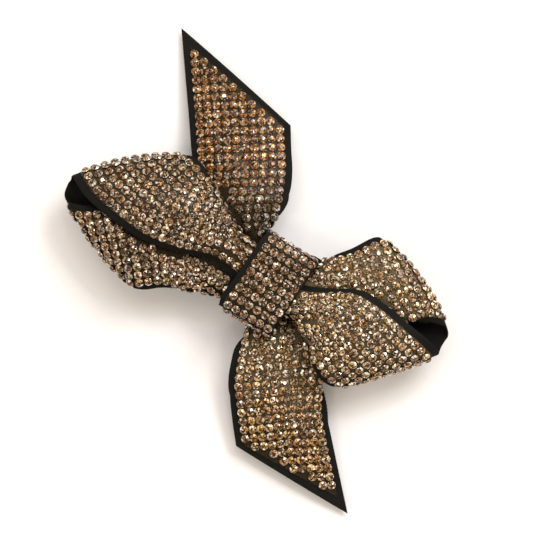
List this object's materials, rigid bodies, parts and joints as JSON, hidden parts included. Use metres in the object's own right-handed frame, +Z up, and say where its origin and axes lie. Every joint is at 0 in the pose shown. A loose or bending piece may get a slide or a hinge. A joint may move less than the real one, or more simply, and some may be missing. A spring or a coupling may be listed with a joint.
{
  "type": "rhinestone bow hair clip",
  "caption": "Black ribbon bow with two pointed loops, two slant-cut tails and a banded knot, covered in topaz rhinestones, on a sprung alligator hair clip.",
  "frame": {"origin": "on the table, under the middle of the whole bow's outline", "axes": "+X along the loops towards the right loop, +Y towards the upper tail's side, +Z up out of the bow's face"},
  "size_m": [0.1393, 0.1074, 0.0276],
  "materials": {
    "ribbon": "black grosgrain ribbon with fine cross ribs, satin sheen",
    "film": "thin clear transfer film, glossy",
    "stone": "smoked topaz foil-backed cut glass, bright facets",
    "thread": "waxed black sewing thread",
    "glue": "clear to milky hot-melt glue",
    "steel": "pressed steel strip, nickel finish",
    "spring": "drawn spring wire"
  },
  "bodies": {
    "bow": {"left_loop_ribbon": "ribbon", "right_loop_ribbon": "ribbon", "tail_ribbon": "ribbon", "knot_band_ribbon": "ribbon", "left_loop_film": "film", "right_loop_film": "film", "tail_film": "film", "knot_film": "film", "left_loop_stones": "stone", "right_loop_stones": "stone", "tail_stones": "stone", "knot_stones": "stone", "binding_thread": "thread", "glue_pad": "glue", "clip_lining": "ribbon", "clip_upper_jaw": "steel", "clip_spring": "spring", "clip_pin": "steel"},
    "lower_jaw": {"clip_lower_jaw": "steel"}
  },
  "joints": [
    {"name": "jaw_hinge", "type": "hinge", "parent": "bow", "child": "lower_jaw", "pos_m": [0.0114, -0.00205, 0.0076], "axis": [0, -1, 0], "range_deg": [0, 22], "stiffness_Nm_per_rad": 0.05, "springref_deg": -34.38, "deforming": ["clip_spring"]}
  ]
}
